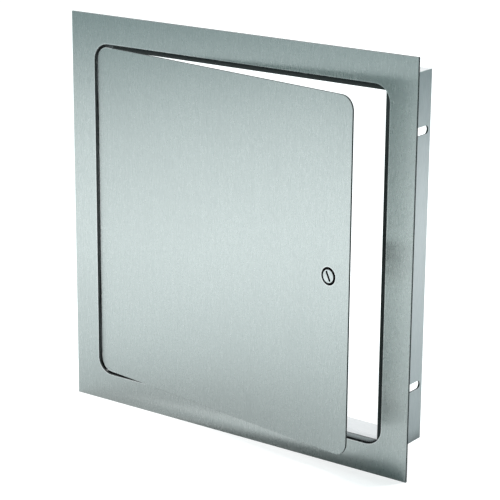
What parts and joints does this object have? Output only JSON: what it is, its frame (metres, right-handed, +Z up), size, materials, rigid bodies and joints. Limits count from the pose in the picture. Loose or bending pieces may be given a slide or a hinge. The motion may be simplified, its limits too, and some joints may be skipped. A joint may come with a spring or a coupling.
{
  "type": "flush access door",
  "caption": "Square flush wall access door: flat flange on an angle frame, sheet door on a concealed rod hinge, screwdriver cam latch.",
  "frame": {"origin": "Middle of the wall opening, in the plane of the flange's back face, which lies on the wall", "axes": "+Y goes into the wall, the front faces -Y, +Z is up, and the hinge is at -X"},
  "size_m": [0.3556, 0.0952, 0.3556],
  "materials": {
    "satin_steel": "satin",
    "frame_steel": "satin",
    "latch_steel": "polished",
    "plated_steel": "plated",
    "spring_steel": "dark",
    "black_zinc": "black",
    "nylon": "matte",
    "rivet_aluminium": "satin"
  },
  "bodies": {
    "frame": {"face_flange": "satin_steel", "frame_top": "frame_steel", "frame_bottom": "frame_steel", "frame_latch_side": "frame_steel", "frame_hinge_side": "frame_steel", "hinge_bracket_upper": "plated_steel", "hinge_bracket_lower": "plated_steel", "hinge_rod": "plated_steel", "rod_clips": "spring_steel", "bracket_rivets": "rivet_aluminium"},
    "door": {"door_panel": "satin_steel", "door_lug_upper": "plated_steel", "door_lug_lower": "plated_steel", "lug_bushes": "nylon", "latch_housing": "black_zinc"},
    "latch": {"latch_stud": "latch_steel", "latch_spring": "black_zinc", "latch_cam": "plated_steel", "cam_lock_washer": "spring_steel", "cam_nut": "plated_steel"}
  },
  "joints": [
    {"name": "door_swing", "type": "hinge", "parent": "frame", "child": "door", "pos_m": [-0.1356, 0.0043, 0], "axis": [0, 0, -1], "range_deg": [-8.6, 105.4]},
    {"name": "latch_turn", "type": "hinge", "parent": "door", "child": "latch", "pos_m": [0.12444, -0.03503, 0], "axis": [-0.1495, -0.9888, 0], "range_deg": [-27, 63]}
  ]
}
